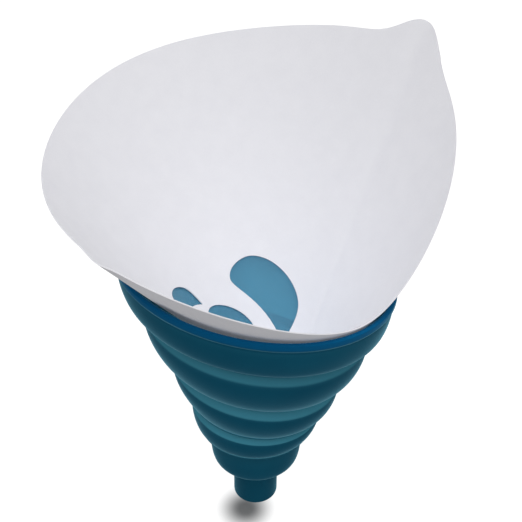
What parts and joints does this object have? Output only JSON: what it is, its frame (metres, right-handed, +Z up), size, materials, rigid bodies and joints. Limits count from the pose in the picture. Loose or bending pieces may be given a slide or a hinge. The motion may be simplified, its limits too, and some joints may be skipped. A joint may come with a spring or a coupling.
{
  "type": "paint strainer",
  "caption": "Rolled paper cone with comma-shaped gauze windows, resting in a collapsible silicone funnel that stands on its spout.",
  "frame": {"origin": "under the middle of the object's outline seen from above, on the surface it stands on", "axes": "+Z up along the spout, +X to the right and +Y to the back as the picture is taken"},
  "size_m": [0.1378, 0.1336, 0.1868],
  "materials": {
    "silicone": "satin moulded silicone, teal",
    "paper": "smooth white filter paper",
    "gauze": "fine see-through nylon gauze"
  },
  "bodies": {
    "root": {"funnel": "silicone", "paper_cone": "paper", "filter_gauze": "gauze"}
  },
  "joints": []
}
